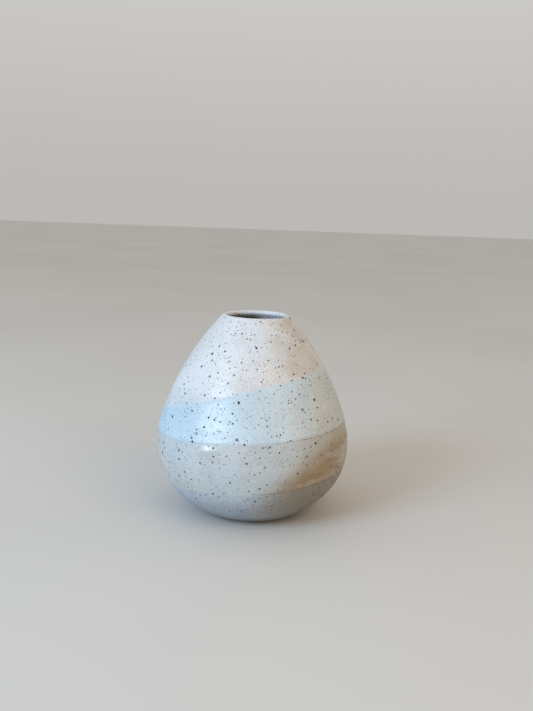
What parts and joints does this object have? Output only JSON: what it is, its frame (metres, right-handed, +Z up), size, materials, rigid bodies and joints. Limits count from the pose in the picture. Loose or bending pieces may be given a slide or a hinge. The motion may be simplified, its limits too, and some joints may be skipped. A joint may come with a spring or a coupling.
{
  "type": "bud vase",
  "caption": "Small pear-shaped stoneware bud vase with a narrow round mouth, a flat foot and speckled satin glaze dipped in overlapping bands.",
  "frame": {"origin": "centre of the foot, on the surface that the vase stands on", "axes": "+Z up along the axis that the vase was thrown about; -Y towards the front; +X to the viewer's right"},
  "size_m": [0.087, 0.087, 0.09],
  "materials": {
    "speckled_clay": "bare fired stoneware, matt, buff with dark iron specks",
    "liner_glaze": "satin off-white liner glaze with iron specks",
    "cream_glaze": "satin cream to pinkish white glaze with dark iron specks",
    "pale_blue_glaze": "satin pale blue, thicker where two dips overlap, with dark iron specks",
    "grey_glaze": "satin warm grey glaze with dark iron specks",
    "cool_grey_glaze": "satin cool grey glaze with dark iron specks"
  },
  "bodies": {
    "root": {"stoneware_body": "speckled_clay", "inner_glaze": "liner_glaze", "rim_glaze": "cream_glaze", "overlap_glaze": "pale_blue_glaze", "belly_glaze": "grey_glaze", "foot_glaze": "cool_grey_glaze"}
  },
  "joints": []
}
